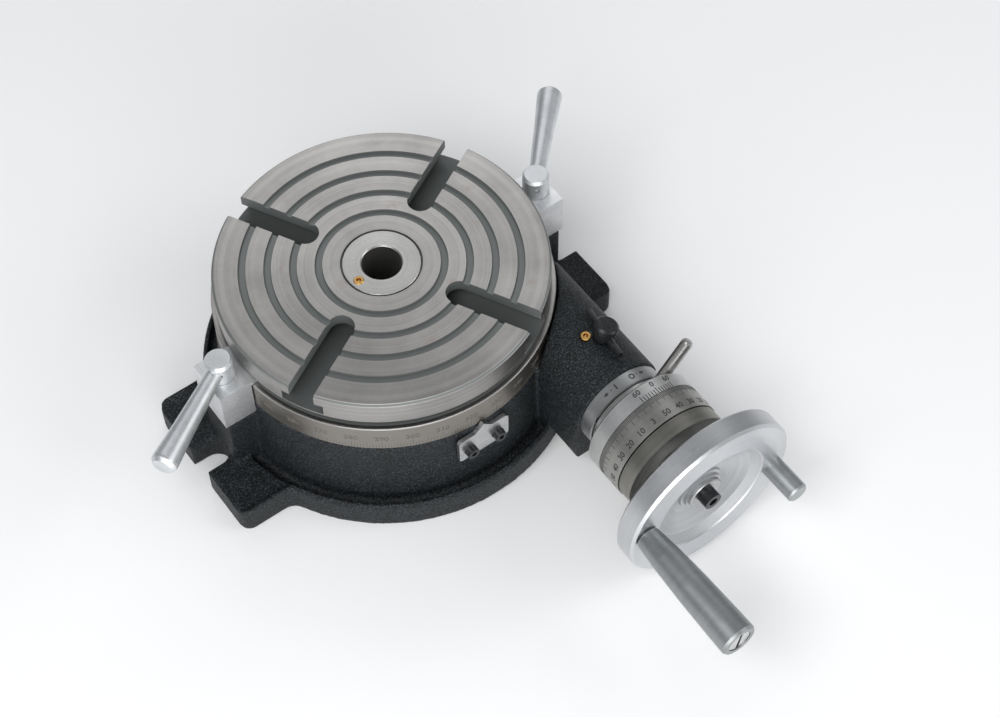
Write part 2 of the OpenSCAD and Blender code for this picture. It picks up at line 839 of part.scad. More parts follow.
// The pointed index plate under the table's scale
module index_plate() {
    half = plate_half_w;
    cut = 1.3;
    color(steel) translate([plate_x, -plate_y, 0]) rotate([90, 0, 0]) linear_extrude(plate_t)
        difference() {
            polygon([
                [-half, plate_low + cut], [-half + cut, plate_low], [half - cut, plate_low],
                [half, plate_low + cut], [half, plate_high - cut], [half - cut, plate_high],
                [4.5, plate_high], [0, plate_tip], [-4.5, plate_high], [-half + cut, plate_high],
                [-half, plate_high - cut]
            ]);
            for (s = [-1, 1])
                translate([s * plate_screw_dx, plate_screw_z]) {
                    square([3, 3.4], center = true);
                    for (e = [-1, 1])
                        translate([1.5 * e, 0]) circle(r = 1.7);
                }
        }
}

module index_screws() {
    color(black_oxide)
        for (s = [-1, 1])
            translate([plate_x + s * plate_screw_dx, -plate_y - plate_t, plate_screw_z])
                rotate([90, 0, 0]) cap_screw(1.5, 9, 2.9, 3);
}

module housing_oiler() {
    translate([worm_x, -76.3, sleeve_z + barrel_r]) oiler();
}

base_casting();
table();
spindle_hub();
hub_oiler();
worm_wheel();
worm_wheel_screws();
thrust_washer();
spindle_washer();
spindle_nut();
on_off_collar();
collar_screws();
eccentric_sleeve();
sleeve_bushes();
rear_eccentric_bush();
on_off_rod();
vernier_ring();
vernier_screws();
worm_shaft();
worm_nuts();
dial_hub();
dial_ring();
dial_spring();
dial_circlip();
handwheel();
handwheel_key();
handwheel_washer();
handwheel_screw();
handle_axle();
handle_grip();
counterweight();
clamp_studs();
left_clamp_jaw();
left_clamp_washer();
left_clamp_nut();
left_clamp_lever();
right_clamp_jaw();
right_clamp_washer();
right_clamp_nut();
right_clamp_lever();
lock_screw();
lock_bar();
index_plate();
index_screws();
housing_oiler();
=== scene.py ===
"""Looks for the rotary table: materials, engraved scales, floor, light and camera.

Metres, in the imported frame's own axes: +Z up along the table's axis, -Y towards the handwheel.
"""

import math

import bmesh
import bpy
from mathutils import Matrix, Vector


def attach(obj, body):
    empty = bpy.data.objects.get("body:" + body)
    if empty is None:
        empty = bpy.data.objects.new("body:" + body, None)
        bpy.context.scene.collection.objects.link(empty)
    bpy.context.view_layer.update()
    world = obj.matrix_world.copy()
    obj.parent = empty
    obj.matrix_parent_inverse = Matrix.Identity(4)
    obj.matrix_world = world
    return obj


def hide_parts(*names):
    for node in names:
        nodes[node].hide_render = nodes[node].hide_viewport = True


MM = 0.001

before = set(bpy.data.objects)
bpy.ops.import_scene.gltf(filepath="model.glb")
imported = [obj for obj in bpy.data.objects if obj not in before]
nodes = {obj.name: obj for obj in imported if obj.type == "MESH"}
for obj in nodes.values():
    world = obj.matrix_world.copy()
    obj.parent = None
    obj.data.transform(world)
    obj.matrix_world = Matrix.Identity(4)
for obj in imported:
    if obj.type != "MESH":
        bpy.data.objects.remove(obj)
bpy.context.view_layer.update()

# ---------------------------------------------------------------- places
UPWARD = Vector((0, 0, 1))
FORWARD = Vector((0, -1, 0))
TABLE_AXIS = (Vector((0, 0, 0)), UPWARD)
WORM_AXIS = (Vector((55, 0, 45)) * MM, FORWARD)
SLEEVE_AXIS = (Vector((55, 0, 42.5)) * MM, FORWARD)
GRIP_AXIS = (Vector((19.547, 0, 51.251)) * MM, FORWARD)
WEIGHT_AXIS = (Vector((89.468, 0, 38.922)) * MM, FORWARD)

FLANGE_R = 77 * MM
FLANGE_FOOT = 49.5 * MM
DIAL_R = 27 * MM
DIAL_BACK = 122.3 * MM
VERNIER_FRONT = 122 * MM
COLLAR_R = 21 * MM
COLLAR_MIDDLE = 104.2 * MM


# ---------------------------------------------------------------- node helpers
class Graph:
    """A material's node tree, with short calls for the nodes used here."""

    def __init__(self, name):
        self.material = bpy.data.materials.new(name)
        self.material.use_nodes = True
        self.tree = self.material.node_tree
        self.shader = self.tree.nodes["Principled BSDF"]
        self.coords = self.tree.nodes.new("ShaderNodeTexCoord").outputs["Object"]

    def link(self, value, socket):
        if isinstance(value, bpy.types.NodeSocket):
            self.tree.links.new(value, socket)
        else:
            socket.default_value = value

    def math(self, operation, a, b):
        node = self.tree.nodes.new("ShaderNodeMath")
        node.operation = operation
        for value, socket in zip((a, b), node.inputs):
            self.link(value, socket)
        return node.outputs[0]

    def add(self, a, b):
        return self.math("ADD", a, b)

    def minus(self, a, b):
        return self.math("SUBTRACT", a, b)

    def times(self, a, b):
        return self.math("MULTIPLY", a, b)

    def over(self, a, b):
        return self.math("DIVIDE", a, b)

    def most(self, a, b):
        return self.math("MAXIMUM", a, b)

    def vector(self, operation, a, b=(0, 0, 0)):
        node = self.tree.nodes.new("ShaderNodeVectorMath")
        node.operation = operation
        self.link(a, node.inputs[0])
        self.link(b, node.inputs[1])
        scalar = operation in ("DOT_PRODUCT", "LENGTH")
        return node.outputs["Value" if scalar else "Vector"]

    def combine(self, x, y, z):
        node = self.tree.nodes.new("ShaderNodeCombineXYZ")
        for value, socket in zip((x, y, z), node.inputs):
            self.link(value, socket)
        return node.outputs[0]

    def separate(self, v):
        node = self.tree.nodes.new("ShaderNodeSeparateXYZ")
        self.link(v, node.inputs[0])
        return node.outputs[0], node.outputs[1], node.outputs[2]

    def noise(self, where, scale, detail=3.0, rough=0.55):
        node = self.tree.nodes.new("ShaderNodeTexNoise")
        self.link(where, node.inputs["Vector"])
        node.inputs["Scale"].default_value = scale
        node.inputs["Detail"].default_value = detail
        node.inputs["Roughness"].default_value = rough
        return node.outputs["Fac"]

    def cells(self, where, scale):
        """Distance to the nearest of scattered points."""
        node = self.tree.nodes.new("ShaderNodeTexVoronoi")
        node.feature = "F1"
        self.link(where, node.inputs["Vector"])
        node.inputs["Scale"].default_value = scale
        node.inputs["Randomness"].default_value = 1.0
        return node.outputs["Distance"]

    def remap(self, value, lo, hi, to_lo, to_hi, smooth=False):
        node = self.tree.nodes.new("ShaderNodeMapRange")
        node.interpolation_type = "SMOOTHSTEP" if smooth else "LINEAR"
        self.link(value, node.inputs["Value"])
        keys = ("From Min", "From Max", "To Min", "To Max")
        for key, number in zip(keys, (lo, hi, to_lo, to_hi)):
            self.link(number, node.inputs[key])
        return node.outputs["Result"]

    def below(self, length, full, none):
        """1 where a length is under `full` millimetres, falling to 0 at `none`."""
        return self.remap(length, full * MM, none * MM, 1.0, 0.0)

    def above(self, length, none, full):
        """0 where a length is under `none` millimetres, rising to 1 at `full`."""
        return self.remap(length, none * MM, full * MM, 0.0, 1.0)

    def mix_colour(self, factor, a, b, blend="MIX"):
        node = self.tree.nodes.new("ShaderNodeMix")
        node.data_type = "RGBA"
        node.blend_type = blend
        self.link(factor, node.inputs["Factor"])
        for value, key in ((a, 6), (b, 7)):
            if not isinstance(value, bpy.types.NodeSocket):
                value = (*value, 1.0)
            self.link(value, node.inputs[key])
        return node.outputs[2]

    def bump(self, height, distance, strength=1.0, normal=None):
        node = self.tree.nodes.new("ShaderNodeBump")
        self.link(height, node.inputs["Height"])
        node.inputs["Distance"].default_value = distance
        node.inputs["Strength"].default_value = strength
        if normal is not None:
            self.link(normal, node.inputs["Normal"])
        return node.outputs["Normal"]

    def around(self, axis):
        """Height along an axis, distance from it, and the direction round it."""
        centre, direction = axis
        rel = self.vector("SUBTRACT", self.coords, tuple(centre))
        height = self.vector("DOT_PRODUCT", rel, tuple(direction))
        along = self.tree.nodes.new("ShaderNodeVectorMath")
        along.operation = "SCALE"
        along.inputs[0].default_value = tuple(direction)
        self.link(height, along.inputs["Scale"])
        flat = self.vector("SUBTRACT", rel, along.outputs["Vector"])
        radius = self.vector("LENGTH", flat)
        turn = self.tree.nodes.new("ShaderNodeVectorTransform")
        turn.vector_type = "VECTOR"
        turn.convert_from, turn.convert_to = "OBJECT", "WORLD"
        self.link(self.vector("CROSS_PRODUCT", tuple(direction), flat), turn.inputs[0])
        return height, radius, self.vector("NORMALIZE", turn.outputs[0])

    def rings(self, radius, height, radial_pitch, height_pitch, seed, detail, rough):
        """Noise that changes with distance from an axis and height along it, not round it."""
        across = self.over(radius, radial_pitch * MM)
        along = self.over(height, height_pitch * MM)
        return self.noise(self.combine(across, along, seed), 1.0, detail, rough)

    def upward(self):
        """The upward part of the surface's normal, in the object's axes."""
        turn = self.tree.nodes.new("ShaderNodeVectorTransform")
        turn.vector_type = "NORMAL"
        turn.convert_from, turn.convert_to = "WORLD", "OBJECT"
        geometry = self.tree.nodes.new("ShaderNodeNewGeometry")
        self.link(geometry.outputs["True Normal"], turn.inputs[0])
        return self.separate(turn.outputs[0])[2]

    def finish(self, colour, rough, metal=None, normal=None, tangent=None):
        self.link(colour, self.shader.inputs["Base Color"])
        self.link(rough, self.shader.inputs["Roughness"])
        if metal is not None:
            self.link(metal, self.shader.inputs["Metallic"])
        if normal is not None:
            self.link(normal, self.shader.inputs["Normal"])
        if tangent is not None:
            self.link(tangent, self.shader.inputs["Tangent"])
        return self.material


# ---------------------------------------------------------------- materials
TURNED_PITCH = 0.3  # millimetres between the tool's fine rings


def turned_metal(
    name, axis, light, dark, rough, depth=0.008, sheen=0.55, stain=0.2, core=0.0, core_dim=1.0
):
    """Metal cut on a lathe about an axis: fine rings, a sheen that runs round, faint stains.

    Within `core` millimetres of the axis it is rougher, and its colour is times `core_dim`.
    """
    g = Graph(name)
    height, radius, tangent = g.around(axis)
    rings = g.rings(radius, height, TURNED_PITCH, TURNED_PITCH, 0.0, 4.0, 0.7)
    bands = g.rings(radius, height, 2.4, 2.4, 3.0, 2.0, 0.5)
    cloud = g.noise(g.coords, 55.0, 4.0, 0.6)
    marks = g.noise(g.coords, 900.0, 2.0, 0.6)
    shade = g.add(g.times(rings, 0.45), g.times(bands, 0.3))
    shade = g.add(shade, g.times(cloud, 0.25))
    colour = g.mix_colour(g.remap(shade, 0.36, 0.62, 0.0, 1.0), dark, light)
    stained = g.times(g.remap(cloud, 0.55, 0.72, 0.0, 1.0, True), stain)
    colour = g.mix_colour(stained, colour, dark)
    roughness = g.remap(g.add(rings, marks), 0.7, 1.3, rough - 0.06, rough + 0.08)
    if core:
        inner = g.below(radius, core - 0.3, core)
        roughness = g.add(roughness, g.times(inner, 0.22))
        dim = g.remap(inner, 0.0, 1.0, 1.0, core_dim)
        colour = g.mix_colour(1.0, colour, g.combine(dim, dim, dim), "MULTIPLY")
    g.shader.inputs["Metallic"].default_value = 1.0
    g.shader.inputs["Anisotropic"].default_value = sheen
    return g.finish(colour, roughness, normal=g.bump(rings, depth * MM), tangent=tangent)


def table_top_steel(name):
    """The table: turned faces with rust specks, dull T-slots and grooves darkened with painted
    shade, a brown scale band.
    """
    g = Graph(name)
    height, radius, tangent = g.around(TABLE_AXIS)
    rings = g.rings(radius, height, TURNED_PITCH, TURNED_PITCH, 0.0, 4.0, 0.7)
    bands = g.rings(radius, height, 3.2, 1.1, 3.0, 2.0, 0.5)
    cloud = g.noise(g.coords, 28.0, 5.0, 0.62)
    blotch = g.noise(g.coords, 120.0, 4.0, 0.65)
    grain = g.noise(g.coords, 1400.0, 2.0, 0.6)
    shade = g.add(g.times(rings, 0.35), g.times(bands, 0.25))
    shade = g.add(shade, g.times(cloud, 0.4))
    shade = g.remap(shade, 0.38, 0.62, 0.0, 1.0)
    colour = g.mix_colour(shade, (0.30, 0.292, 0.283), (0.50, 0.487, 0.472))
    # scratches that cross the face where work has been slid over it
    x, y, _ = g.separate(g.coords)
    scratch = g.noise(g.combine(g.times(x, 60.0), g.times(y, 1800.0), 0.0), 1.0, 2.0, 0.8)
    scratch = g.remap(scratch, 0.70, 0.76, 0.0, 1.0)
    colour = g.mix_colour(g.times(scratch, 0.35), colour, (0.74, 0.73, 0.71))
    # faint rust in specks and soft patches
    specks = g.remap(g.noise(g.coords, 620.0, 3.0, 0.7), 0.69, 0.76, 0.0, 1.0)
    patch = g.remap(blotch, 0.60, 0.75, 0.0, 1.0, True)
    rust = g.most(g.times(specks, patch), g.times(patch, 0.22))
    colour = g.mix_colour(rust, colour, (0.30, 0.15, 0.07))
    # cut sides inside the rim and below the top face are dull and darker: partly their milled
    # finish, partly painted shade for these hollows
    milled_and_shaded = g.times(g.below(radius, 74.6, 74.9), g.below(height, 79.6, 79.9))
    # painted shade, graded by height: strongest below 74 mm in the T-slots' heads, less in the
    # neck under the rim below 67.2 mm, least in the slots' throats above 74.2 mm
    depth = g.remap(height, 73.8 * MM, 74.2 * MM, 0.95, 0.34)
    depth = g.minus(depth, g.times(g.below(height, 67.2, 67.3), 0.45))
    colour = g.mix_colour(milled_and_shaded, colour, (0.19, 0.205, 0.20))
    # the painted shade mixes the cut sides towards near-black
    slot_shade = g.times(g.times(milled_and_shaded, depth), 0.72)
    colour = g.mix_colour(slot_shade, colour, (0.060, 0.064, 0.064))
    # the scale's band is browner than the faces
    band = g.times(g.above(radius, 76.0, 76.4), g.below(height, 63.4, 63.8))
    colour = g.mix_colour(g.times(band, 0.7), colour, (0.24, 0.215, 0.185))
    roughness = g.remap(g.add(rings, grain), 0.7, 1.3, 0.30, 0.43)
    roughness = g.add(roughness, g.times(milled_and_shaded, 0.16))
    roughness = g.add(roughness, g.times(rust, 0.3))
    normal = g.bump(rings, 0.010 * MM)
    normal = g.bump(g.minus(grain, g.times(scratch, 0.4)), 0.006 * MM, 1.0, normal)
    g.shader.inputs["Anisotropic"].default_value = 0.6
    metal = g.remap(g.most(rust, milled_and_shaded), 0.0, 1.0, 1.0, 0.3)
    return g.finish(colour, roughness, metal, normal, tangent)


def wrinkle_paint(name):
    """Thick black wrinkle paint on iron, with bare machined seats, bores and underside; painted
    light and shade on its wrinkles and painted glints in its colour.
    """
    g = Graph(name)
    height, radius, _ = g.around(TABLE_AXIS)
    warp = g.noise(g.coords, 500.0, 2.0)
    shift = g.combine(g.times(warp, 0.0009), g.times(warp, -0.0007), 0.0)
    soft = g.vector("ADD", g.coords, shift)
    pimples = g.cells(soft, 1150.0)
    folds = g.noise(soft, 1050.0, 3.0, 0.6)
    # painted glints: fine scattered specks of lighter colour
    painted_glints = g.remap(g.noise(g.coords, 1350.0, 2.0, 0.6), 0.50, 0.62, 0.0, 1.0)
    cast = g.noise(g.coords, 90.0, 3.0, 0.5)
    relief = g.add(g.times(pimples, -0.75), g.times(folds, 0.9))
    # painted light and shade on the wrinkles: the relief's crests coloured lighter, its hollows
    # darker
    painted_relief_light = g.remap(relief, 0.0, 0.45, 0.0, 1.0)
    colour = g.mix_colour(painted_relief_light, (0.0024, 0.0030, 0.0034), (0.013, 0.0165, 0.018))
    colour = g.mix_colour(g.times(cast, 0.15), colour, (0.016, 0.020, 0.023))
    # the painted glints mixed into the paint's colour
    colour = g.mix_colour(g.times(painted_glints, 0.75), colour, (0.050, 0.061, 0.068))
    # bare iron: the underside, the bore for the spindle and the seat under the flange
    under = g.times(g.remap(g.upward(), -0.99, -0.9, 1.0, 0.0), g.below(height, 13.2, 13.4))
    bore = g.below(radius, 33.2, 33.6)
    seat = g.times(g.above(height, 49.2, 49.3), g.below(radius, 77.3, 77.4))
    bare = g.most(g.most(under, bore), seat)
    iron = g.mix_colour(g.noise(g.coords, 700.0, 3.0), (0.16, 0.155, 0.15), (0.34, 0.33, 0.32))
    colour = g.mix_colour(bare, colour, iron)
    roughness = g.remap(folds, 0.3, 0.7, 0.42, 0.60)
    g.shader.inputs["Specular IOR Level"].default_value = 0.24
    normal = g.bump(g.times(relief, g.minus(1.0, bare)), 0.42 * MM, 0.9)
    normal = g.bump(cast, 0.4 * MM, 0.35, normal)
    return g.finish(colour, roughness, bare, normal)


def plain_metal(name, light, dark, rough, grain=0.01, stretch=(1, 1, 1), metal=1.0):
    """Satin or blackened metal: fine grain, slow clouds and worn spots."""
    g = Graph(name)
    fine = g.noise(g.vector("MULTIPLY", g.coords, stretch), 1500.0, 3.0, 0.65)
    cloud = g.noise(g.coords, 130.0, 3.0, 0.55)
    shade = g.add(g.times(fine, 0.5), g.times(cloud, 0.5))
    colour = g.mix_colour(g.remap(shade, 0.38, 0.62, 0.0, 1.0), dark, light)
    roughness = g.remap(fine, 0.3, 0.7, rough - 0.05, rough + 0.07)
    g.shader.inputs["Metallic"].default_value = metal
    return g.finish(colour, roughness, normal=g.bump(fine, grain * MM))


def engraved_ink(name, dark, light):
    """Paint worn unevenly in the cut lines and figures."""
    g = Graph(name)
    wear = g.noise(g.coords, 1600.0, 2.0, 0.6)
    colour = g.mix_colour(g.remap(wear, 0.45, 0.72, 0.0, 0.6), dark, light)
    return g.finish(colour, g.remap(wear, 0.3, 0.7, 0.45, 0.65), normal=g.bump(wear, 0.01 * MM))


def floor_paper(name):
    """The pale sweep of paper that the object stands on."""
    g = Graph(name)
    fibre = g.noise(g.coords, 900.0, 3.0, 0.6)
    colour = g.mix_colour(fibre, (0.92, 0.922, 0.925), (0.95, 0.952, 0.955))
    return g.finish(colour, g.remap(fibre, 0.3, 0.7, 0.75, 0.9), normal=g.bump(fibre, 0.02 * MM))


STEEL = ((0.60, 0.59, 0.575), (0.40, 0.395, 0.385))
BRONZE = ((0.55, 0.34, 0.15), (0.36, 0.21, 0.09))
SATIN = {"sheen": 0.3, "depth": 0.004}

# material: axis, (light, dark) colours, roughness, and what differs from the usual finish
TURNED = {
    "hub_steel": (
        TABLE_AXIS, ((0.52, 0.515, 0.50), (0.38, 0.375, 0.365)), 0.30,
        {"depth": 0.002, "core": 9.2},
    ),
    "spindle_steel": (TABLE_AXIS, STEEL, 0.32, {}),
    "dark_nut": (TABLE_AXIS, ((0.20, 0.20, 0.205), (0.11, 0.11, 0.115)), 0.38, {}),
    "worm_steel": (WORM_AXIS, STEEL, 0.30, {}),
    "dark_hub": (WORM_AXIS, ((0.31, 0.302, 0.275), (0.18, 0.176, 0.160)), 0.36, {}),
    "sleeve_steel": (SLEEVE_AXIS, ((0.50, 0.495, 0.485), (0.33, 0.33, 0.325)), 0.32, {}),
    "collar_aluminium": (
        SLEEVE_AXIS, ((0.42, 0.43, 0.435), (0.29, 0.295, 0.30)), 0.36, {"sheen": 0.35},
    ),
    "dial_aluminium": (
        WORM_AXIS, ((0.41, 0.408, 0.385), (0.28, 0.278, 0.262)), 0.36, {"sheen": 0.4},
    ),
    "vernier_aluminium": (
        WORM_AXIS, ((0.61, 0.615, 0.61), (0.45, 0.455, 0.45)), 0.38, {"sheen": 0.4},
    ),
    "handwheel_aluminium": (
        WORM_AXIS, ((0.65, 0.662, 0.68), (0.555, 0.565, 0.58)), 0.36,
        {"depth": 0.003, "stain": 0.05, "core": 28.6, "core_dim": 0.80},
    ),
    "washer_steel": (
        WORM_AXIS, ((0.52, 0.52, 0.52), (0.38, 0.38, 0.38)), 0.30, {"depth": 0.002},
    ),
    "grip_aluminium": (GRIP_AXIS, ((0.37, 0.388, 0.392), (0.30, 0.312, 0.316)), 0.42, SATIN),
    "axle_steel": (GRIP_AXIS, ((0.70, 0.70, 0.70), (0.54, 0.54, 0.54)), 0.30, {"depth": 0.002}),
    "weight_aluminium": (WEIGHT_AXIS, ((0.44, 0.46, 0.465), (0.36, 0.373, 0.378)), 0.42, SATIN),
    "bronze_wheel": (TABLE_AXIS, BRONZE, 0.35, {}),
    "bronze_bush": (WORM_AXIS, BRONZE, 0.33, {}),
}

# material: light and dark colours, roughness, and what differs from the usual plain finish
PLAIN = {
    "jaw_steel": ((0.80, 0.81, 0.82), (0.62, 0.63, 0.64), 0.40, {"stretch": (1, 0.08, 1)}),
    "satin_clamp": ((0.74, 0.765, 0.78), (0.60, 0.62, 0.635), 0.44, {"grain": 0.010}),
    "rod_steel": ((0.52, 0.51, 0.49), (0.38, 0.375, 0.365), 0.32, {"grain": 0.003}),
    "plate_aluminium": ((0.70, 0.71, 0.72), (0.54, 0.55, 0.56), 0.30, {"stretch": (0.06, 1, 1)}),
    "black_oxide": ((0.045, 0.048, 0.052), (0.018, 0.019, 0.021), 0.30, {"metal": 0.6}),
    "brass_oiler": ((0.72, 0.44, 0.15), (0.45, 0.26, 0.09), 0.30, {"grain": 0.015}),
}

materials = {
    "black_wrinkle": wrinkle_paint("black_wrinkle"),
    "ground_table": table_top_steel("ground_table"),
}
for look, (axis, (light, dark), rough, special) in TURNED.items():
    materials[look] = turned_metal(look, axis, light, dark, rough, **special)
for look, (light, dark, rough, special) in PLAIN.items():
    materials[look] = plain_metal(look, light, dark, rough, **special)
dark_ink = engraved_ink("engraved_ink", (0.022, 0.023, 0.025), (0.09, 0.09, 0.094))
worn_ink = engraved_ink("worn_ink", (0.10, 0.088, 0.075), (0.22, 0.20, 0.175))

# material: the nodes that wear it
LOOKS = {
    "black_wrinkle": ["base_casting"],
    "ground_table": ["table"],
    "hub_steel": ["spindle_hub"],
    "spindle_steel": ["spindle_washer", "clamp_studs"],
    "dark_nut": ["spindle_nut"],
    "worm_steel": ["worm_shaft", "dial_spring", "handwheel_key"],
    "dark_hub": ["worm_nuts", "dial_hub", "dial_circlip"],
    "sleeve_steel": ["eccentric_sleeve"],
    "collar_aluminium": ["on_off_collar"],
    "dial_aluminium": ["dial_ring"],
    "vernier_aluminium": ["vernier_ring"],
    "handwheel_aluminium": ["handwheel"],
    "washer_steel": ["handwheel_washer"],
    "grip_aluminium": ["handle_grip"],
    "axle_steel": ["handle_axle"],
    "weight_aluminium": ["counterweight"],
    "bronze_wheel": ["worm_wheel", "thrust_washer"],
    "bronze_bush": ["sleeve_bushes", "rear_eccentric_bush"],
    "jaw_steel": [
        "left_clamp_jaw", "left_clamp_washer", "right_clamp_jaw", "right_clamp_washer",
    ],
    "satin_clamp": [
        "left_clamp_nut", "left_clamp_lever", "right_clamp_nut", "right_clamp_lever",
    ],
    "rod_steel": ["on_off_rod"],
    "plate_aluminium": ["index_plate"],
    "black_oxide": [
        "worm_wheel_screws", "collar_screws", "vernier_screws", "handwheel_screw",
        "lock_screw", "lock_bar", "index_screws",
    ],
    "brass_oiler": ["hub_oiler", "housing_oiler"],
}
for look, wearers in LOOKS.items():
    for node_name in wearers:
        data = nodes[node_name].data
        data.materials.clear()
        data.materials.append(materials[look])


# ---------------------------------------------------------------- softened shapes
def shaped_mesh(piece):
    """A new mesh of an object as its modifiers leave it."""
    graph = bpy.context.evaluated_depsgraph_get()
    return bpy.data.meshes.new_from_object(piece.evaluated_get(graph))


def soft_casting():
    """The base with the soft edges and filled corners of painted sand-cast iron."""
    piece = bpy.data.objects.new("cast_base", nodes["base_casting"].data.copy())
    bpy.context.scene.collection.objects.link(piece)
    even = piece.modifiers.new("even", "REMESH")
    even.mode, even.voxel_size, even.use_smooth_shade = "VOXEL", 0.8 * MM, True
    soften = piece.modifiers.new("soften", "SMOOTH")
    soften.factor, soften.iterations = 0.5, 9
    thin = piece.modifiers.new("thin", "DECIMATE")
    thin.ratio = 0.35
    shaped = shaped_mesh(piece)
    piece.modifiers.clear()
    piece.data = shaped
    for face in shaped.polygons:
        face.use_smooth = True
    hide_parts("base_casting")
    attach(piece, "base")


soft_casting()

# edges that are broken on the real pieces: widths in millimetres
EDGE_ROUNDS = {
    "left_clamp_jaw": 0.5, "right_clamp_jaw": 0.5, "index_plate": 0.25,
    "lock_bar": 0.3, "table": 0.18, "clamp_studs": 0.3,
}
WIDE_EDGE = 0.4
SHARP_EDGE = math.radians(35)
for node_name, width in EDGE_ROUNDS.items():
    edge = nodes[node_name].modifiers.new("broken_edges", "BEVEL")
    edge.width = width * MM
    edge.segments = 3 if width > WIDE_EDGE else 2
    edge.limit_method = "ANGLE"
    edge.angle_limit = SHARP_EDGE
    edge.use_clamp_overlap = True
    edge.harden_normals = False


# ---------------------------------------------------------------- engraved scales
INK_RISE = 0.03 * MM
INK_SINK = 0.05 * MM


class Marks:
    """Lines, arrows and figures laid round a cylinder, as one mesh of thin solids."""

    def __init__(self, axis, across, radius):
        self.centre, self.axis = axis
        self.radius = radius
        self.across = Vector(across)
        self.side = self.axis.cross(self.across)
        self.bm = bmesh.new()

    def place(self, along, height, rise):
        """A point `along` metres round from the start line and `height` along the axis."""
        angle = along / self.radius
        reach = self.radius + rise
        out = self.across * math.cos(angle) + self.side * math.sin(angle)
        return self.centre + self.axis * height + out * reach

    def solid(self, outline, base, spin=0.0):
        """A thin solid over flat (x, y) points, turned by `spin` and moved to `base`."""
        c, s = math.cos(spin), math.sin(spin)
        moved = [(base[0] + x * c - y * s, base[1] + x * s + y * c) for x, y in outline]
        low = [self.bm.verts.new(self.place(x, y, -INK_SINK)) for x, y in moved]
        high = [self.bm.verts.new(self.place(x, y, INK_RISE)) for x, y in moved]
        self.bm.faces.new(high)
        self.bm.faces.new(low[::-1])
        for i in range(len(moved)):
            j = (i + 1) % len(moved)
            self.bm.faces.new((low[i], low[j], high[j], high[i]))

    def line(self, along, start, end, width):
        low, high = min(start, end), max(start, end)
        half = width / 2
        self.solid([(-half, low), (half, low), (half, high), (-half, high)], (along, 0))

    def figure(self, text, along, height, size, spin=0.0, bold=0.08):
        """Figures centred at a point, their tops along +height when spin is 0."""
        curve = bpy.data.curves.new("figure", "FONT")
        curve.body, curve.size = text, size
        curve.align_x, curve.align_y = "CENTER", "CENTER"
        curve.extrude = (INK_RISE + INK_SINK) / 2
        curve.resolution_u = 2
        curve.offset = bold * MM
        holder = bpy.data.objects.new("figure", curve)
        bpy.context.scene.collection.objects.link(holder)
        bpy.context.view_layer.update()
        mesh = shaped_mesh(holder)
        c, s = math.cos(spin), math.sin(spin)
        lift = (INK_RISE - INK_SINK) / 2
        for v in mesh.vertices:
            x, y, z = v.co
            v.co = self.place(along + x * c - y * s, height + x * s + y * c, z + lift)
        self.bm.from_mesh(mesh)
        bpy.data.objects.remove(holder)
        bpy.data.curves.remove(curve)
        bpy.data.meshes.remove(mesh)

    def finish(self, name, body, look):
        bmesh.ops.recalc_face_normals(self.bm, faces=self.bm.faces)
        mesh = bpy.data.meshes.new(name)
        self.bm.to_mesh(mesh)
        self.bm.free()
        mesh.materials.append(look)
        piece = bpy.data.objects.new(name, mesh)
        bpy.context.scene.collection.objects.link(piece)
        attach(piece, body)


def line_length(step, shortest):
    """Long lines at every tenth step and middling ones at every fifth, in metres."""
    return (4.6 if step % 10 == 0 else 3.8 if step % 5 == 0 else shortest) * MM


def table_scale():
    """360 one-degree lines round the flange, with figures every ten degrees."""
    pointer, reading = math.radians(-91.94), 323.4
    start = (math.cos(pointer), math.sin(pointer), 0)
    marks = Marks(TABLE_AXIS, start, FLANGE_R)
    for degree in range(360):
        along = FLANGE_R * math.radians((degree - reading + 180) % 360 - 180)
        end = FLANGE_FOOT + line_length(degree, 2.6)
        marks.line(along, FLANGE_FOOT + 0.3 * MM, end, 0.26 * MM)
        if degree % 10 == 0:
            marks.figure(str(degree), along, FLANGE_FOOT + 7.3 * MM, 4.2 * MM)
    marks.finish("table_scale", "table", worn_ink)


def dial_scale():
    """Minutes of arc round the dial: 240 lines, figures every ten, the degree every sixty."""
    minutes_a_turn, top_minute, top_angle = 240, 180, 14.0
    marks = Marks(WORM_AXIS, UPWARD, DIAL_R)
    for minute in range(minutes_a_turn):
        turned = (minute - top_minute) * 360 / minutes_a_turn
        along = DIAL_R * math.radians(top_angle + turned)
        end = DIAL_BACK + line_length(minute, 2.4)
        marks.line(along, DIAL_BACK + 0.15 * MM, end, 0.28 * MM)
        if minute % 10 == 0:
            text = str(minute % 60) if minute % 60 else str(minute // 60)
            marks.figure(text, along, DIAL_BACK + 9.3 * MM, 3.9 * MM, math.pi)
    marks.finish("dial_scale", "dial", dark_ink)


def vernier_scale():
    """Twelve parts of the vernier, reading 60, 0 and 60 seconds."""
    zero_angle, part_angle = -8.9, 2.95
    marks = Marks(WORM_AXIS, UPWARD, DIAL_R)
    for i in range(-6, 7):
        along = DIAL_R * math.radians(zero_angle + i * part_angle)
        length = 3.2 if i % 6 == 0 else 2.6
        marks.line(along, VERNIER_FRONT - 0.15 * MM, VERNIER_FRONT - length * MM, 0.42 * MM)
        if i % 6 == 0:
            text = "0" if i == 0 else "60"
            marks.figure(text, along, VERNIER_FRONT - 5.3 * MM, 3.8 * MM, math.pi)
    marks.finish("vernier_scale", "sleeve", dark_ink)


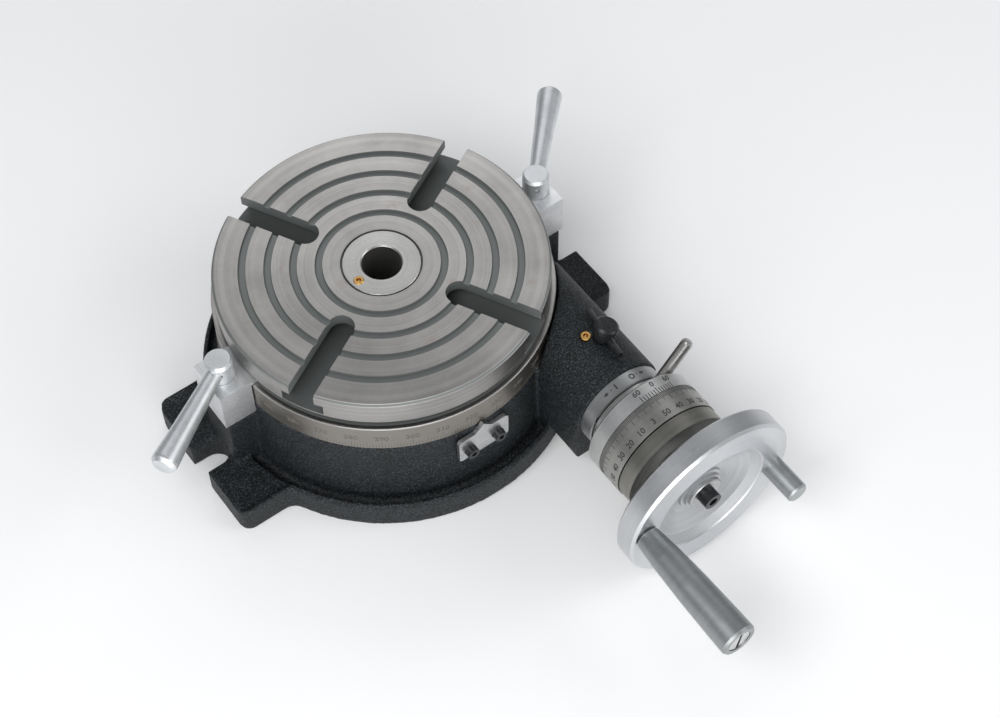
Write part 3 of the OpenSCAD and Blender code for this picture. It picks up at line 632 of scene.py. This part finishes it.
def collar_marks():
    """Arrows on the fixed collar for the two ways the sleeve swings, with a bar and a ring."""
    marks = Marks(SLEEVE_AXIS, UPWARD, COLLAR_R)
    half_shaft, half_head, neck, tip = 0.24 * MM, 0.95 * MM, 2.7 * MM, 4.8 * MM
    arrow = [
        (0, half_shaft), (neck, half_shaft), (neck, half_head), (tip, 0),
        (neck, -half_head), (neck, -half_shaft), (0, -half_shaft),
    ]
    for degrees, spin in ((20.0, 0.0), (-16.5, math.pi)):
        marks.solid(arrow, (COLLAR_R * math.radians(degrees), COLLAR_MIDDLE), spin)
    for degrees, text in ((14.0, "I"), (-10.0, "O")):
        along = COLLAR_R * math.radians(degrees)
        marks.figure(text, along, COLLAR_MIDDLE + 0.2 * MM, 3.8 * MM, math.pi, 0.15)
    marks.finish("collar_marks", "base", dark_ink)


table_scale()
dial_scale()
vernier_scale()
collar_marks()

# ---------------------------------------------------------------- floor and light
REACH = 3  # metres from the middle of the floor to each side
floor_mesh = bpy.data.meshes.new("floor")
floor_corners = [(-REACH, -REACH, 0), (REACH, -REACH, 0), (REACH, REACH, 0), (-REACH, REACH, 0)]
floor_mesh.from_pydata(floor_corners, [], [(0, 1, 2, 3)])
floor_mesh.materials.append(floor_paper("pale_floor"))
floor = bpy.data.objects.new("floor", floor_mesh)
bpy.context.scene.collection.objects.link(floor)

world = bpy.data.worlds.new("studio")
world.use_nodes = True
world.node_tree.nodes["Background"].inputs["Color"].default_value = (0.93, 0.96, 1.0, 1.0)
world.node_tree.nodes["Background"].inputs["Strength"].default_value = 0.27
bpy.context.scene.world = world
bpy.context.scene.view_settings.view_transform = "Standard"

# softbox: place, the point it faces, width and height, and watts
SOFTBOXES = {
    "key": ((-0.75, -0.35, 1.15), (0, 0, 0.04), (0.9, 0.7), 10.5),
    "fill": ((0.95, -0.75, 0.85), (0.02, -0.05, 0.04), (0.8, 0.8), 5.0),
    "front": ((-0.55, -1.25, 0.40), (0.02, -0.05, 0.05), (1.3, 0.8), 11.5),
    "back": ((0.60, 0.85, 1.00), (0, 0, 0.05), (1.1, 0.6), 3.3),
}
for name, (place, facing, size, watts) in SOFTBOXES.items():
    lamp = bpy.data.lights.new(name, "AREA")
    lamp.shape = "RECTANGLE"
    lamp.size, lamp.size_y = size
    lamp.energy = watts
    holder = bpy.data.objects.new(name, lamp)
    holder.location = place
    holder.rotation_mode = "QUATERNION"
    holder.rotation_quaternion = (Vector(facing) - Vector(place)).to_track_quat("-Z", "Y")
    bpy.context.scene.collection.objects.link(holder)

# ---------------------------------------------------------------- camera
CAMERA_TARGET = Vector((0.04280, -0.02859, 0.0))
CAMERA_DISTANCE = 0.9625
azimuth, elevation, roll = (math.radians(v) for v in (-35.5106, 56.3035, -0.8628))

camera_data = bpy.data.cameras.new("photo_view")
camera_data.sensor_width = 36.0
camera_data.lens = 73.27
camera = bpy.data.objects.new("photo_view", camera_data)
right = Vector((math.cos(azimuth), math.sin(azimuth), 0))
outward = Vector((math.sin(azimuth), -math.cos(azimuth), 0))
back = outward * math.cos(elevation) + UPWARD * math.sin(elevation)
up = back.cross(right)
right_rolled = right * math.cos(roll) + up * math.sin(roll)
up_rolled = back.cross(right_rolled)
camera.rotation_mode = "QUATERNION"
camera_turn = Matrix((right_rolled, up_rolled, back)).transposed()
camera.rotation_quaternion = camera_turn.to_quaternion()
camera.location = CAMERA_TARGET + back * CAMERA_DISTANCE
bpy.context.scene.collection.objects.link(camera)
bpy.context.scene.camera = camera
